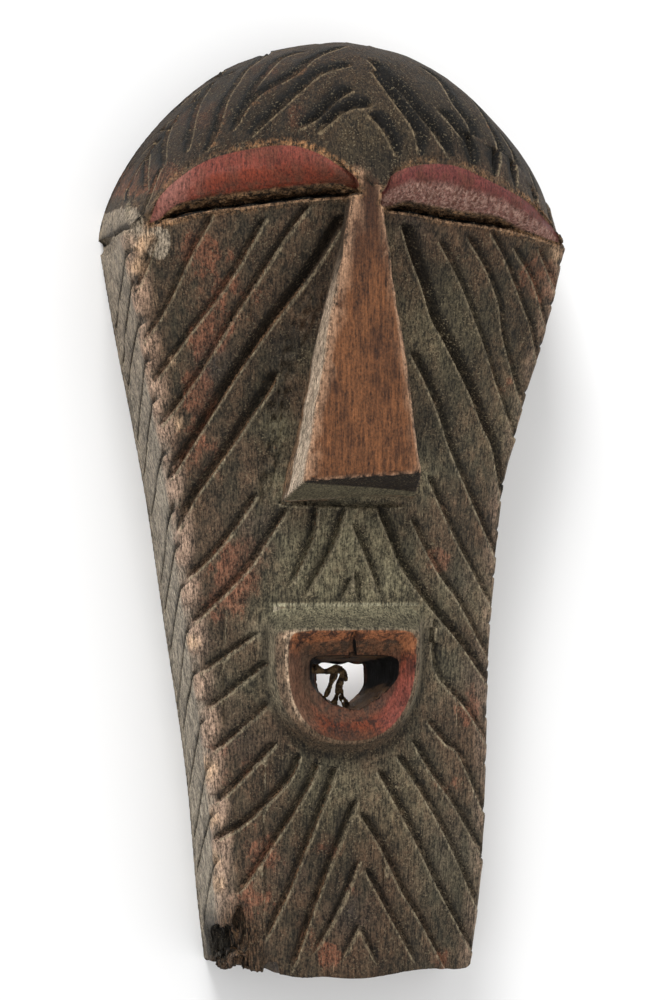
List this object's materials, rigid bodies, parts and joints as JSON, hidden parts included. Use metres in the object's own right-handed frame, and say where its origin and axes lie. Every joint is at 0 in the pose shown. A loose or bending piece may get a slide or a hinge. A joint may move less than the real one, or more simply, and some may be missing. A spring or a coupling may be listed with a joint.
{
  "type": "miniature mask",
  "caption": "Small carved wooden face mask with slanted eyes, wedge nose, open mouth and incised grooves, lying on its hollow back.",
  "frame": {"origin": "centre of the bounding box on the plane that the rim of the hollow back rests on", "axes": "+Z out of the carved face, +Y towards the crown of the head, +X to the right as the face is seen"},
  "size_m": [0.083, 0.1708, 0.0456],
  "materials": {
    "stained_wood": "hand carved, dark stained and worn, with dull red paint on the eyelids and lips"
  },
  "bodies": {
    "root": {"mask": "stained_wood"}
  },
  "joints": []
}
